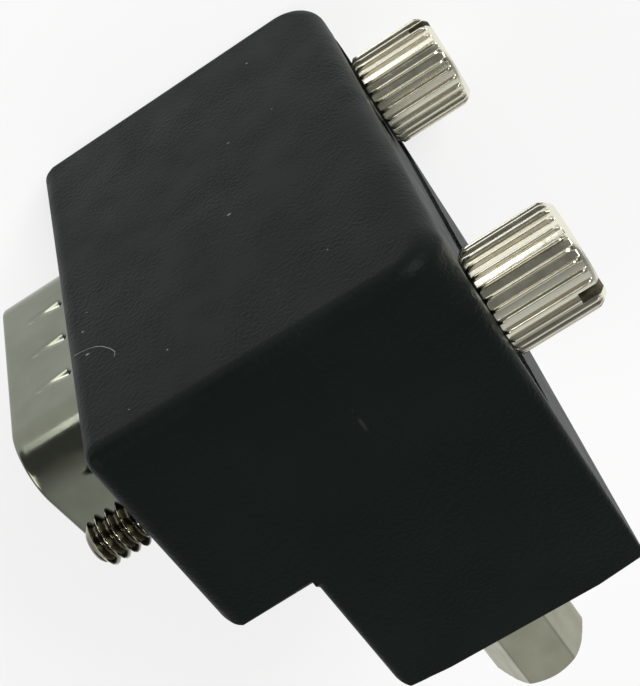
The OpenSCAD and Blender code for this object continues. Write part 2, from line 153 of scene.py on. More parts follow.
# %% Lay the floor
FLOOR_HALF = 3.0
FLOOR_GAP = 0.00001
floor_z = cad_box[0][2] - FLOOR_GAP
floor_mesh = bpy.data.meshes.new("paper_floor")
floor_mesh.from_pydata([(sx * FLOOR_HALF, sy * FLOOR_HALF, floor_z)
                        for sx, sy in ((-1, -1), (1, -1), (1, 1), (-1, 1))], [], [(0, 1, 2, 3)])
paper_floor = bpy.data.objects.new("paper_floor", floor_mesh)
bpy.context.scene.collection.objects.link(paper_floor)
print("floor at z", round(floor_z / MM, 3), "mm")

# %% Whiten the paper
PAPER_WHITE = (0.93, 0.93, 0.92, 1.0)
PAPER_LIFT = 0.75
paper = bpy.data.materials.new("white_paper")
paper.use_nodes = True
tree = paper.node_tree
paper_shader = tree.nodes["Principled BSDF"]
paper_shader.inputs["Base Color"].default_value = PAPER_WHITE
paper_shader.inputs["Roughness"].default_value = 0.9
paper_shader.inputs["Specular IOR Level"].default_value = 0.1
plain_white = tree.nodes.new("ShaderNodeEmission")
plain_white.inputs["Strength"].default_value = 1.0
seen_by = tree.nodes.new("ShaderNodeLightPath")
seen = seen_by.outputs["Is Camera Ray"]
for ray in ("Is Glossy Ray", "Is Transmission Ray"):
    seen = calculated(tree, "MAXIMUM", seen, seen_by.outputs[ray])
lifted = tree.nodes.new("ShaderNodeMixShader")
tree.links.new(calculated(tree, "MULTIPLY", seen, PAPER_LIFT), lifted.inputs["Fac"])
tree.links.new(paper_shader.outputs["BSDF"], lifted.inputs[1])
tree.links.new(plain_white.outputs["Emission"], lifted.inputs[2])
tree.links.new(lifted.outputs["Shader"], tree.nodes["Material Output"].inputs["Surface"])
floor_mesh.materials.append(paper)
print("paper lifted by", PAPER_LIFT)

# %% Hang the lamps
BLOCK_MIDDLE = Vector((10.0, -5.0, 0.0)) * MM


def soft_lamp(name, place, size, watts):
    """A square soft lamp that faces the middle of the block, with its place and size in metres."""
    lamp_data = bpy.data.lights.new(name, "AREA")
    lamp_data.shape = "SQUARE"
    lamp_data.size = size
    lamp_data.energy = watts
    lamp = bpy.data.objects.new(name, lamp_data)
    bpy.context.scene.collection.objects.link(lamp)
    lamp.location = place
    lamp.rotation_euler = (BLOCK_MIDDLE - Vector(place)).to_track_quat("-Z", "Y").to_euler()


soft_lamp("right_lamp", place=(0.36, 0.33, 0.36), size=0.30, watts=3.0)
soft_lamp("left_lamp", place=(-0.42, 0.10, 0.42), size=0.32, watts=1.1)
soft_lamp("low_lamp", place=(-0.08, 0.60, 0.05), size=0.20, watts=0.4)
bpy.context.scene.view_settings.view_transform = "Standard"

# %% Grade the sky
LIGHTEST_WAY = (0.0, -0.85, 0.527)
SKY_GREYS = ((0.0, 0.35), (0.10, 0.30), (0.20, 0.12), (0.58, 0.12), (0.78, 0.36), (0.95, 0.60),
             (1.0, 0.75))
sky = bpy.data.worlds.new("graded_sky")
bpy.context.scene.world = sky
sky.use_nodes = True
tree = sky.node_tree
direction = tree.nodes.new("ShaderNodeTexCoord")
towards = tree.nodes.new("ShaderNodeVectorMath")
towards.operation = "DOT_PRODUCT"
towards.inputs[1].default_value = LIGHTEST_WAY
tree.links.new(direction.outputs["Generated"], towards.inputs[0])
lightness = between(tree, towards.outputs["Value"], 0.0, 1.0, -1.0, 1.0)
grade = tinted(tree, lightness, [(place, (grey, grey, grey)) for place, grey in SKY_GREYS])
tree.links.new(grade, tree.nodes["Background"].inputs["Color"])
print("sky greys", [grey for _, grey in SKY_GREYS])

# %% [markdown]
# ## Finishes
#
# Every finish starts from Blender's one general shader and gets its own small faults: a mould's
# grain, the clouding of old plating, the fine marks of a lathe. Textures made from formulas are
# placed by object coordinates, so they need no unwrapping, and they stay put when a screw moves.

# %% Helpers for finishes
finishes = {}


def start_finish(slot, colour, roughness, metallic=0.0, specular=0.5):
    """A new finish for one material slot, with its even values set on the shader."""
    finish = bpy.data.materials.new(slot)
    finish.use_nodes = True
    finish.diffuse_color = (*colour, 1.0)
    shader = finish.node_tree.nodes["Principled BSDF"]
    shader.inputs["Base Color"].default_value = (*colour, 1.0)
    shader.inputs["Roughness"].default_value = roughness
    shader.inputs["Metallic"].default_value = metallic
    shader.inputs["Specular IOR Level"].default_value = specular
    finishes[slot] = finish
    return finish.node_tree, shader


def cloud(tree, size_mm, detail=3.0, stretch=(1.0, 1.0, 1.0)):
    """Cloudy noise with patches of about this size, stretched along an axis where it is below 1."""
    coordinates = tree.nodes.new("ShaderNodeTexCoord")
    scale = tree.nodes.new("ShaderNodeMapping")
    scale.inputs["Scale"].default_value = stretch
    noise = tree.nodes.new("ShaderNodeTexNoise")
    noise.inputs["Scale"].default_value = 1.0 / (size_mm * MM)
    noise.inputs["Detail"].default_value = detail
    tree.links.new(coordinates.outputs["Object"], scale.inputs["Vector"])
    tree.links.new(scale.outputs["Vector"], noise.inputs["Vector"])
    return noise.outputs["Fac"]


def added(tree, first, second, share):
    """The first value plus a share of the second."""
    return calculated(tree, "MULTIPLY_ADD", second, share, first)


def raised(tree, shader, height, depth_mm):
    """Roughens the surface by a height, as a bump of this depth."""
    bump = tree.nodes.new("ShaderNodeBump")
    bump.inputs["Strength"].default_value = 1.0
    bump.inputs["Distance"].default_value = depth_mm * MM
    tree.links.new(height, bump.inputs["Height"])
    tree.links.new(bump.outputs["Normal"], shader.inputs["Normal"])


print("finish helpers ready")

# %% [markdown]
# The block is moulded in a soft black plastic round the finished connectors. Its mould was spark
# eroded, which leaves a fine pebbled grain. The mould's two halves met in one plane, and a faint
# line on the top and down the side still shows where. A picture of a grain would repeat and smear
# over the round edges, so noise makes it, and the line is found from the distance to that plane.

# %% The mould line
MOULD_LINE_X = 12.15
MOULD_LINE_HALF = 0.05
LINE_GONE_Y, LINE_FULL_Y = -4.0, 3.0


def along_axis(tree, axis):
    """A point's place along one axis of its object, in metres."""
    coordinates = tree.nodes.new("ShaderNodeTexCoord")
    axes = tree.nodes.new("ShaderNodeSeparateXYZ")
    tree.links.new(coordinates.outputs["Object"], axes.inputs["Vector"])
    return axes.outputs[axis]


def mould_line(tree):
    """1 on the mould line and 0 away from it, broken up and fading down the side."""
    distance = calculated(tree, "ABSOLUTE",
                          calculated(tree, "SUBTRACT", along_axis(tree, "X"), MOULD_LINE_X * MM))
    line = between(tree, distance, 1.0, 0.0, MOULD_LINE_HALF * MM, 3 * MOULD_LINE_HALF * MM)
    down = between(tree, along_axis(tree, "Y"), 0.0, 1.0, LINE_GONE_Y * MM, LINE_FULL_Y * MM)
    broken = between(tree, cloud(tree, 0.9), 0.0, 1.0, 0.50, 0.60)
    return calculated(tree, "MULTIPLY", calculated(tree, "MULTIPLY", line, down), broken)


print("mould line at x", MOULD_LINE_X, "mm")

# %% The moulded plastic
GRAIN = 0.24
DEEP_BLACK, FADED_BLACK = (0.0031, 0.0050, 0.0046), (0.0046, 0.0070, 0.0065)
LINE_GREY = (0.040, 0.040, 0.035)

tree, shader = start_finish("moulded_plastic", (0.0038, 0.0060, 0.0056), 0.48, specular=0.09)
shader.inputs["Specular Tint"].default_value = (0.84, 1.0, 0.94, 1.0)
line_height = mould_line(tree)
patches = between(tree, cloud(tree, 6.0), 0.0, 0.7)
greyed = tinted(tree, added(tree, patches, line_height, 0.3),
                [(0.0, DEEP_BLACK), (0.7, FADED_BLACK), (1.0, LINE_GREY)])
tree.links.new(greyed, shader.inputs["Base Color"])
tree.links.new(between(tree, cloud(tree, 2.5), 0.43, 0.53), shader.inputs["Roughness"])
pebbles = between(tree, cloud(tree, GRAIN, detail=2.0), 0.0, 1.0, 0.40, 0.60)
worn = between(tree, cloud(tree, 5.0), 0.12, 1.0)
raised(tree, shader, added(tree, calculated(tree, "MULTIPLY", pebbles, worn), line_height, 0.5), 0.022)
print("moulded_plastic: grain of", GRAIN, "mm")

# %% [markdown]
# The connector shells are thin sheet steel, drawn in a press and then plated with a dull tin-nickel.
# Years of handling cloud the plating, and the press leaves fine lines along the draw. The lines are
# noise stretched along one axis. The dimples get a painted highlight on their slopes and painted
# shade in the pits at their deep ends, so the shell will carry two values of its own for that.

# %% The plated shells
DRAW_LINE = 0.15
SHELL_GREY = (0.197, 0.209, 0.164)
# Painted light on the dimples: a painted highlight on the slopes and painted shade in the deep-end pits.
DIMPLE_PAINTED_LIGHT = {"painted_dimple_highlight": (0.32, 0.33, 0.27), "painted_pit_shade": (0.035, 0.035, 0.028)}


def mixed(tree, factor, under, over):
    """One colour laid over another by a factor. The upper one is a socket or a plain colour."""
    mix = tree.nodes.new("ShaderNodeMix")
    mix.data_type = "RGBA"
    tree.links.new(factor, mix.inputs["Factor"])
    tree.links.new(under, mix.inputs["A"])
    if isinstance(over, tuple):
        mix.inputs["B"].default_value = (*over, 1.0)
    else:
        tree.links.new(over, mix.inputs["B"])
    return mix.outputs["Result"]


tree, shader = start_finish("plated_shell", SHELL_GREY, 0.16, metallic=1.0)
shown = tinted(tree, cloud(tree, 3.0), [(0.28, (0.170, 0.180, 0.140)), (0.5, SHELL_GREY),
                                        (0.75, (0.225, 0.235, 0.187))])
# Lays the dimples' painted highlight and painted pit shade over the plating.
for mark, colour in DIMPLE_PAINTED_LIGHT.items():
    painted = tree.nodes.new("ShaderNodeAttribute")
    painted.attribute_name = mark
    shown = mixed(tree, painted.outputs["Fac"], shown, colour)
tree.links.new(shown, shader.inputs["Base Color"])
tree.links.new(between(tree, cloud(tree, 1.2), 0.12, 0.2), shader.inputs["Roughness"])
raised(tree, shader, cloud(tree, DRAW_LINE, stretch=(0.15, 1.0, 1.0)), 0.003)
print("plated_shell: draw lines of", DRAW_LINE, "mm")

# %% [markdown]
# The thumbscrews are turned from bar and nickel plated, so they are brighter than the shells and a
# little yellow. Painted shade darkens the roots of the thread and the flanks of the knurl, and the whole
# thread is painted darker, as shade from the block. Both lie nearer the screw's axis than the metal
# beside them, so each screw's origin will be put on its axis and the distance from it paints that
# shade onto the plating, by one ramp for the thread and another for the knob.
# The lathe's feed leaves fine rings on the knob's end.

# %% Distance from a screw's axis
KNOB_R, KNURL_DEPTH = 3.05, 0.24
THREAD_TOP_R, THREAD_ROOT_R = 1.42, 1.04


def from_axis(tree):
    """Distance of a point from its object's X axis, in mm."""
    coordinates = tree.nodes.new("ShaderNodeTexCoord")
    flat = tree.nodes.new("ShaderNodeVectorMath")
    flat.operation = "MULTIPLY"
    flat.inputs[1].default_value = (0.0, 1.0 / MM, 1.0 / MM)
    length = tree.nodes.new("ShaderNodeVectorMath")
    length.operation = "LENGTH"
    tree.links.new(coordinates.outputs["Object"], flat.inputs[0])
    tree.links.new(flat.outputs["Vector"], length.inputs[0])
    return length.outputs["Value"]


print("thread between", THREAD_ROOT_R, "and", THREAD_TOP_R, "mm from the axis, knob to", KNOB_R, "mm")

# %% The thumbscrews' nickel and painted shade
CLEAN_NICKEL, KNOB_MIDDLE = (0.83, 0.81, 0.67), (0.70, 0.68, 0.55)
# Painted shade on the knurl: near the foot of each ridge and on its flanks.
KNURL_FOOT_PAINTED_SHADE, KNURL_FLANK_PAINTED_SHADE = (0.54, 0.50, 0.40), (0.58, 0.54, 0.43)
# Painted shade on the thread: crests darker than the knob, as shade from the block, and roots darkest.
THREAD_CREST_PAINTED_SHADE, THREAD_FLANK_PAINTED_SHADE = (0.56, 0.54, 0.43), (0.17, 0.16, 0.12)
THREAD_ROOT_PAINTED_SHADE = (0.08, 0.072, 0.052)
THREAD_TO_X, KNOB_FROM_X = 9.0, 10.0
LATHE_FEED = 0.12
groove_r = (KNOB_R - KNURL_DEPTH) / KNOB_R

tree, shader = start_finish("thumbscrew", CLEAN_NICKEL, 0.18, metallic=1.0)
axis_distance = between(tree, from_axis(tree), 0.0, 1.0, 0.0, KNOB_R)
uneven = added(tree, axis_distance, cloud(tree, 0.9), 0.006)
# The thread's painted shade, by distance from the axis.
thread_painted_shade = tinted(tree, uneven, [(0.2, THREAD_CREST_PAINTED_SHADE), (THREAD_ROOT_R / KNOB_R, THREAD_ROOT_PAINTED_SHADE),
                                    (0.43, THREAD_FLANK_PAINTED_SHADE), (THREAD_TOP_R / KNOB_R, THREAD_CREST_PAINTED_SHADE)])
# The knob's tint, with painted shade on the ridges' flanks.
knob_tint_and_painted_shade = tinted(tree, uneven, [(0.0, KNOB_MIDDLE), (0.6, CLEAN_NICKEL), (groove_r + 0.014, CLEAN_NICKEL),
                                  (groove_r + 0.026, KNURL_FOOT_PAINTED_SHADE), (0.972, KNURL_FLANK_PAINTED_SHADE),
                                  (0.988, CLEAN_NICKEL)])
on_knob = between(tree, along_axis(tree, "X"), 0.0, 1.0, THREAD_TO_X * MM, KNOB_FROM_X * MM)
tree.links.new(mixed(tree, on_knob, thread_painted_shade, knob_tint_and_painted_shade), shader.inputs["Base Color"])
tree.links.new(between(tree, cloud(tree, 0.7), 0.13, 0.23), shader.inputs["Roughness"])
feed = calculated(tree, "MULTIPLY", axis_distance, KNOB_R * math.tau / LATHE_FEED)
fine_marks = cloud(tree, 0.08, stretch=(0.2, 1.0, 1.0))
raised(tree, shader, added(tree, fine_marks, calculated(tree, "SINE", feed), 0.12), 0.003)
# The dark thread and ridge flanks are painted shade.
print("thumbscrew: nickel plate, oily in the thread and on the ridges' flanks")

# %% [markdown]
# The slot's inside gets painted shade, dark and dull all over. The jack nuts are cut from
# hexagonal bar, which keeps the faint lengthwise marks of its drawing, under a satin plating.

# %% The slot's painted shade
# Painted shade inside the screwdriver slot: dark, dull metal.
tree, shader = start_finish("slot_painted_shade", (0.24, 0.225, 0.16), 0.45, metallic=1.0)
tree.links.new(tinted(tree, cloud(tree, 0.5), [(0.3, (0.17, 0.16, 0.11)), (0.7, (0.31, 0.29, 0.21))]),
               shader.inputs["Base Color"])
tree.links.new(between(tree, cloud(tree, 0.3), 0.36, 0.55), shader.inputs["Roughness"])
# The slot's dark film is painted shade.
print("slot_painted_shade: dark film on nickel")

# %% The jack nuts' satin plating
tree, shader = start_finish("jack_nut", (0.37, 0.37, 0.285), 0.36, metallic=1.0)
satin = tinted(tree, cloud(tree, 1.8), [(0.28, (0.335, 0.335, 0.255)), (0.72, (0.40, 0.40, 0.31))])
tree.links.new(satin, shader.inputs["Base Color"])
tree.links.new(between(tree, cloud(tree, 0.6, stretch=(1.0, 0.25, 1.0)), 0.30, 0.42),
               shader.inputs["Roughness"])
raised(tree, shader, cloud(tree, 0.06, stretch=(1.0, 0.08, 1.0)), 0.0025)
print("jack_nut: satin plate with bar marks")

# %% [markdown]
# The rest is mostly out of sight: the half-gloss black carriers that hold the contacts, gold on the
# contacts, bare copper links, and the dark oiled steel of the clips.

# %% The inner finishes
tree, shader = start_finish("insulator", (0.016, 0.016, 0.018), 0.35)
tree.links.new(between(tree, cloud(tree, 1.5), 0.30, 0.42), shader.inputs["Roughness"])
raised(tree, shader, cloud(tree, 0.2), 0.006)

tree, shader = start_finish("gold_contact", (0.83, 0.60, 0.24), 0.22, metallic=1.0)
warm = tinted(tree, cloud(tree, 0.8), [(0.3, (0.76, 0.53, 0.20)), (0.7, (0.86, 0.64, 0.28))])
tree.links.new(warm, shader.inputs["Base Color"])
tree.links.new(between(tree, cloud(tree, 0.4), 0.16, 0.28), shader.inputs["Roughness"])

tree, shader = start_finish("link_wire", (0.72, 0.40, 0.22), 0.3, metallic=1.0)
dulled = tinted(tree, cloud(tree, 1.0), [(0.3, (0.55, 0.28, 0.15)), (0.7, (0.75, 0.43, 0.25))])
tree.links.new(dulled, shader.inputs["Base Color"])

tree, shader = start_finish("spring_steel", (0.24, 0.24, 0.25), 0.35, metallic=1.0)
oiled = tinted(tree, cloud(tree, 0.9), [(0.3, (0.18, 0.18, 0.185)), (0.7, (0.28, 0.28, 0.29))])
tree.links.new(oiled, shader.inputs["Base Color"])
print("finishes:", sorted(finishes))

# %% [markdown]
# ## The CAD solids that stay
#
# The carriers, the contacts and all the inner pieces already have the right shape, so
# they only get their finishes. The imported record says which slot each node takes.

# %% Dress the CAD solids
slot_of = {row["node"]: row["material_slot"] for row in frame["record"]["subparts"]}
for node, solid in frame["nodes"].items():
    solid.data.materials.clear()
    solid.data.materials.append(finishes[slot_of[node]])
print("dressed", len(slot_of), "solids")

# %% [markdown]
# ## Building round things from rings
#
# Screws, shells and nuts are all tubes whose outline changes along their length. A modifier stack
# of arrays, screws and booleans could make them, but a skin over rings of points gives full control
# of a thread's flank or a pressed dimple, and always closes.

# %% Helpers for meshes
def steps(start, end, count):
    """Evenly spaced numbers from start to end, both included."""
    return [start + (end - start) * i / (count - 1) for i in range(count)]


def skin(bm, rings, capped=True):
    """Joins closed rings of points, one after another, and returns their vertices."""
    rows = [[bm.verts.new(point) for point in ring] for ring in rings]
    for row, following in zip(rows, rows[1:]):
        for i in range(len(row)):
            j = (i + 1) % len(row)
            bm.faces.new((row[i], row[j], following[j], following[i]))
    if capped:
        bm.faces.new(rows[0])
        bm.faces.new(rows[-1])
    return rows


def finish_piece(name, bm, slot, body, *nodes, sharp_degrees, origin=Vector()):
    """Turns a bmesh into a piece that rides on a body and stands for these CAD nodes."""
    bmesh.ops.recalc_face_normals(bm, faces=bm.faces)
    bmesh.ops.translate(bm, verts=bm.verts, vec=-origin)
    mesh = bpy.data.meshes.new(name)
    bm.to_mesh(mesh)
    bm.free()
    mesh.shade_smooth()
    mesh.set_sharp_from_angle(angle=math.radians(sharp_degrees))
    mesh.materials.append(finishes[slot])
    piece = bpy.data.objects.new(name, mesh)
    piece.location = origin
    bpy.context.scene.collection.objects.link(piece)
    bpy.context.view_layer.update()
    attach(piece, body)
    if nodes:
        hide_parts(*nodes)
    print(name, len(mesh.polygons), "faces")
    return piece


print("mesh helpers ready")

# %% [markdown]
# ## The moulded block
#
# A mould is hollowed with round cutters, so the block's edges are round and three of them meet in a
# ball at each corner. The CAD solid has round edges too, but its corners are mitred. Here a plain
# L-shaped block gets its two uprights at the back first: wide at the top and, by a pull towards the
# corner, nearly sharp at the foot, which the plastic's shrinking has drawn up a little. Then a Bevel
# modifier rounds every edge, with a weight for its own radius, and makes the balls.

# %% Draw the sharp block
FRONT_HALF_W = 15.995
SKIN = 0.008
NOTCH_X, NOTCH_Y = 5.1, -6.98
block_lo, block_hi = ([v / MM for v in corner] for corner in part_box("housing"))
front, back = SKIN, block_hi[0] - SKIN
top, low = block_hi[1] - SKIN, block_lo[1] + SKIN
side_slope = (block_hi[2] - FRONT_HALF_W) / back
block_side = ((front, NOTCH_Y + SKIN), (NOTCH_X + SKIN, NOTCH_Y + SKIN), (NOTCH_X + SKIN, low),
              (back, low), (back, top), (front, top))


def half_width(x):
    """Half the sharp block's width in mm, at a distance from its front."""
    return FRONT_HALF_W - SKIN + x * side_slope


def sharp_block():
    """The L-shaped block in mm, just under the CAD solid's faces, its sides tapered, with no rounds."""
    bm = bmesh.new()
    flanks = [[bm.verts.new((x, y, side * half_width(x))) for x, y in block_side] for side in (-1, 1)]
    bm.faces.new(flanks[0])
    bm.faces.new(flanks[1])
    for i in range(len(block_side)):
        j = (i + 1) % len(block_side)
        bm.faces.new((flanks[0][i], flanks[0][j], flanks[1][j], flanks[1][i]))
    bmesh.ops.recalc_face_normals(bm, faces=bm.faces)
    return bm


print("block from", [round(v, 2) for v in block_lo], "to", [round(v, 2) for v in block_hi])

# %% Pull the back uprights into shape
BACK_UPRIGHT_R = 2.65
FOOT_SHARE, WAIST_SHARE = 0.09, 0.42
WAIST_Y, SHOULDER_Y = 2.2, 5.6
FOOT_FROM_X, FOOT_LEAN, FOOT_RISE = 17.2, 0.06, 0.3
NEAR = 0.05
LONG_SPAN = 1.0


def upright_share(y):
    """How round a back upright is at this height: nearly sharp at its foot, 1 above its shoulder."""
    if y < WAIST_Y:
        return FOOT_SHARE + (WAIST_SHARE - FOOT_SHARE) * (y - low) / (WAIST_Y - low)
    rise = min(1.0, (y - WAIST_Y) / (SHOULDER_Y - WAIST_Y))
    return WAIST_SHARE + (1.0 - WAIST_SHARE) * rise * rise * (3.0 - 2.0 * rise)


def score(bm, place, normal):
    """Cuts new edges into the block where a plane crosses it."""
    everything = bm.verts[:] + bm.edges[:] + bm.faces[:]
    bmesh.ops.bisect_plane(bm, geom=everything, plane_co=place, plane_no=normal)


def pull_uprights(bm):
    """Rounds the two back uprights widely, and pulls them towards the corner further down."""
    score(bm, (FOOT_FROM_X, 0, 0), (1, 0, 0))
    uprights = [e for e in bm.edges if all(v.co.x > back - NEAR for v in e.verts)
                and abs(e.verts[0].co.y - e.verts[1].co.y) > LONG_SPAN]
    bmesh.ops.bevel(bm, geom=uprights, offset=BACK_UPRIGHT_R, offset_type="OFFSET", segments=12,
                    profile=0.5, affect="EDGES")
    for level in steps(WAIST_Y, SHOULDER_Y, 6):
        score(bm, (0, level, 0), (0, 1, 0))
    corner_z = half_width(back)
    reach = BACK_UPRIGHT_R + NEAR
    for vert in bm.verts:
        if vert.co.x > back - reach and corner_z - abs(vert.co.z) < reach:
            corner = Vector((back, vert.co.y, math.copysign(corner_z, vert.co.z)))
            vert.co = corner + (vert.co - corner) * upright_share(vert.co.y)
            if vert.co.y < low + NEAR:
                vert.co += Vector((-FOOT_LEAN, FOOT_RISE, 0.0))


print("upright's radius at the foot", round(BACK_UPRIGHT_R * upright_share(low), 2), "mm")

# %% Choose a round for each edge
FRONT_UPRIGHT_R, NOTCH_UPRIGHT_R = 0.95, 0.6
LONG_R, ACROSS_R, LOW_R, NOTCH_R, FRONT_TOP_R = 0.95, 1.35, 0.16, 0.57, 1.0
UPRIGHT_SPAN = 0.3


def edge_round(start, end):
    """The radius in mm that an edge of the block gets, once its back uprights are round."""
    middle, along = (start + end) / 2, end - start
    at_front, by_notch = middle.x < NEAR, middle.x < NOTCH_X + NEAR
    if abs(along.y) > UPRIGHT_SPAN:
        if at_front:
            return FRONT_UPRIGHT_R
        return NOTCH_UPRIGHT_R if by_notch else 0.0
    across = abs(along.z) > LONG_SPAN
    if middle.y > top - NEAR:
        if across:
            return FRONT_TOP_R if at_front else ACROSS_R
        round_the_back = max(0.0, (middle.x - back + BACK_UPRIGHT_R) / BACK_UPRIGHT_R)
        return LONG_R + (ACROSS_R - LONG_R) * round_the_back ** 2
    if across and by_notch:
        at_notch = middle.x > NOTCH_X - NEAR and middle.y > NOTCH_Y - NEAR
        return NOTCH_R if at_notch else ACROSS_R
    return LOW_R if middle.y < NOTCH_Y + NEAR else 0.0


print("rounds from", LOW_R, "to", ACROSS_R, "mm")

# %% Round the block
FLAT_ANGLE = math.radians(10)


def as_mesh(bm, name):
    """A mesh of the bmesh, which is then let go."""
    mesh = bpy.data.meshes.new(name)
    bm.to_mesh(mesh)
    bm.free()
    return mesh


def evaluated(mesh, kind, **settings):
    """A bmesh of the mesh after one modifier of this kind."""
    blank = bpy.data.objects.new("blank", mesh)
    bpy.context.scene.collection.objects.link(blank)
    modifier = blank.modifiers.new(kind.lower(), kind)
    for setting, value in settings.items():
        setattr(modifier, setting, value)
    result = bmesh.new()
    result.from_object(blank, bpy.context.evaluated_depsgraph_get())
    bpy.data.objects.remove(blank)
    return result


def rounded_block():
    """The sharp block with all its rounds, as a bmesh in metres."""
    bm = sharp_block()
    pull_uprights(bm)
    weight = bm.edges.layers.float.new("bevel_weight_edge")
    for edge in bm.edges:
        if edge.calc_face_angle() > FLAT_ANGLE:
            edge[weight] = edge_round(edge.verts[0].co, edge.verts[1].co) / ACROSS_R
    bmesh.ops.scale(bm, verts=bm.verts, vec=(MM, MM, MM))
    return evaluated(as_mesh(bm, "sharp_block"), "BEVEL", limit_method="WEIGHT", width=ACROSS_R * MM,
                     segments=8, use_clamp_overlap=False)


rounded_bm = rounded_block()
print("rounded block:", len(rounded_bm.faces), "faces")

# %% [markdown]
# The bores and hollows come from the CAD solid by a boolean. Two nearly equal skins would leave
# ragged slivers, so the solid's copy is swollen first: each of its points on the outside is pushed
# out a little, further where its rounds are wider than the real ones, and the points of its hollows
# stay. Then the rounded block alone makes the outside.

# %% Push the solid's wide rounds out of the way
ROUND_SWELL = 1.5
BACK_ROUND, FRONT_ROUND = 2.3, 1.2
RECESS_DEPTH = 0.25
RECESS_LOW_Y, RECESS_TOP_Y, RECESS_HALF_W = -5.78, 4.58, 15.095
HAIR = 0.005
recess_floor_x = block_hi[0] - RECESS_DEPTH


def at_recess(point):
    """Whether a point in mm lies in the back's recess or on its edge."""
    between_ends = abs(point.z) < RECESS_HALF_W + NEAR
    return between_ends and RECESS_LOW_Y - NEAR < point.y < RECESS_TOP_Y + NEAR


def round_push(point):
    """How a point in mm moves, if it lies on a round of the solid that is wider than the real one."""
    if at_recess(point) and point.x > back - BACK_ROUND:
        return Vector((ROUND_SWELL if point.x > recess_floor_x + HAIR else 0.0, 0.0, 0.0))
    from_side = FRONT_HALF_W + point.x * side_slope - abs(point.z)
    if back - point.x + from_side < BACK_ROUND:
        return Vector((ROUND_SWELL, 0.0, math.copysign(ROUND_SWELL, point.z)))
    if point.x + top - point.y < FRONT_ROUND:
        return Vector((-ROUND_SWELL, ROUND_SWELL, 0.0))
    return Vector()


print("recess floor at x", round(recess_floor_x, 2), "mm")

# %% Swell the solid and keep its hollows
SWELL = 0.2
OUTSIDE = -0.03
WELD = 0.0005


def swollen_solid(around):
    """A copy of the CAD block whose outer points stand off the rounded block."""
    outside = BVHTree.FromBMesh(around)
    housing_solid = frame["nodes"]["housing"]
    bm = bmesh.new()
    bm.from_mesh(housing_solid.data)
    bm.transform(housing_solid.matrix_world)
    bmesh.ops.remove_doubles(bm, verts=bm.verts, dist=WELD * MM)
    moved = 0
    for vert in bm.verts:
        push = round_push(vert.co / MM)
        nearest, normal, _, _ = outside.find_nearest(vert.co)
        if (vert.co - nearest).dot(normal) > OUTSIDE * MM:
            push += normal * SWELL
        vert.co += push * MM
        moved += push.length > 0.0
    print("pushed out", moved, "of", len(bm.verts), "points")
    return bm


def carved(bm, tool_bm, operation, use_self=False):
    """What a boolean with a second bmesh leaves of the first. Both are then let go."""
    tool = bpy.data.objects.new("carving_tool", as_mesh(tool_bm, "carving_tool"))
    bpy.context.scene.collection.objects.link(tool)
    result = evaluated(as_mesh(bm, "carving_blank"), "BOOLEAN", object=tool, operation=operation,
                       solver="EXACT", use_self=use_self)
    bpy.data.objects.remove(tool)
    return result


block_bm = carved(rounded_bm, swollen_solid(rounded_bm), "INTERSECT", use_self=True)
bmesh.ops.remove_doubles(block_bm, verts=block_bm.verts, dist=WELD * MM)
print("open edges:", sum(1 for e in block_bm.edges if len(e.link_faces) != 2))
moulded_block = finish_piece("moulded_block", block_bm, "moulded_plastic", "adapter_body", "housing",
                             sharp_degrees=33)
weighted = moulded_block.modifiers.new("weighted", "WEIGHTED_NORMAL")
weighted.keep_sharp = True

# %% [markdown]
# ## The thumbscrews
#
# Each is one turned piece: a fine thread beside the plug, a plain shank through the block, and a
# straight-knurled knob with a screwdriver slot. A thread is only a radius that depends on the
# distance along the axis less the turn round it, so it is written as such. The sharp ridges of the
# knurl are rounded off where they meet the knob's crown and its chamfered base, by taking whichever
# radius is smaller.

# %% The thread's radius
THREAD_PITCH = 0.635
CREST_FLAT, ROOT_FLAT = 0.07, 0.2


def thread_radius(along, turn):
    """Radius of the thread in mm, at a distance along its axis and an angle round it."""
    phase = (along / THREAD_PITCH - turn / math.tau) % 1.0
    ramp = 2.0 * abs(phase - 0.5)
    height = (ramp - ROOT_FLAT) / (1.0 - ROOT_FLAT - CREST_FLAT)
    return THREAD_ROOT_R + (THREAD_TOP_R - THREAD_ROOT_R) * min(max(height, 0.0), 1.0)


print("thread depth", round(THREAD_TOP_R - THREAD_ROOT_R, 3), "mm")

# %% The knob's radius
KNOB_LEN = 5.4
CROWN_LEN, CROWN_DROP, CROWN_CURVE = 0.75, 0.5, 1.7
KNOB_BASE_CHAMFER = 0.35
KNURL_COUNT, KNURL_STEPS = 28, 20
RIDGE_TOP, RIDGE_FOOT = 0.17, 0.43


def knurl_radius(turn):
    """Radius of the straight knurl in mm: narrow ridges with flat-bottomed grooves between."""
    off_ridge = abs((turn * KNURL_COUNT / math.tau + 0.5) % 1.0 - 0.5) * 2.0
    slope = (off_ridge - RIDGE_TOP) / (RIDGE_FOOT - RIDGE_TOP)
    return KNOB_R - KNURL_DEPTH * min(max(slope, 0.0), 1.0)


def knob_radius(from_base, turn):
    """The knurl, cut by the crown at the knob's end and the chamfer at its base."""
    into_crown = max(0.0, 1.0 - (KNOB_LEN - from_base) / CROWN_LEN)
    end_round = KNOB_R - CROWN_DROP * into_crown ** CROWN_CURVE
    base_chamfer = KNOB_R - KNOB_BASE_CHAMFER + from_base
    return min(knurl_radius(turn), end_round, base_chamfer)


print("knurl ridges every", round(math.tau * KNOB_R / KNURL_COUNT, 2), "mm")

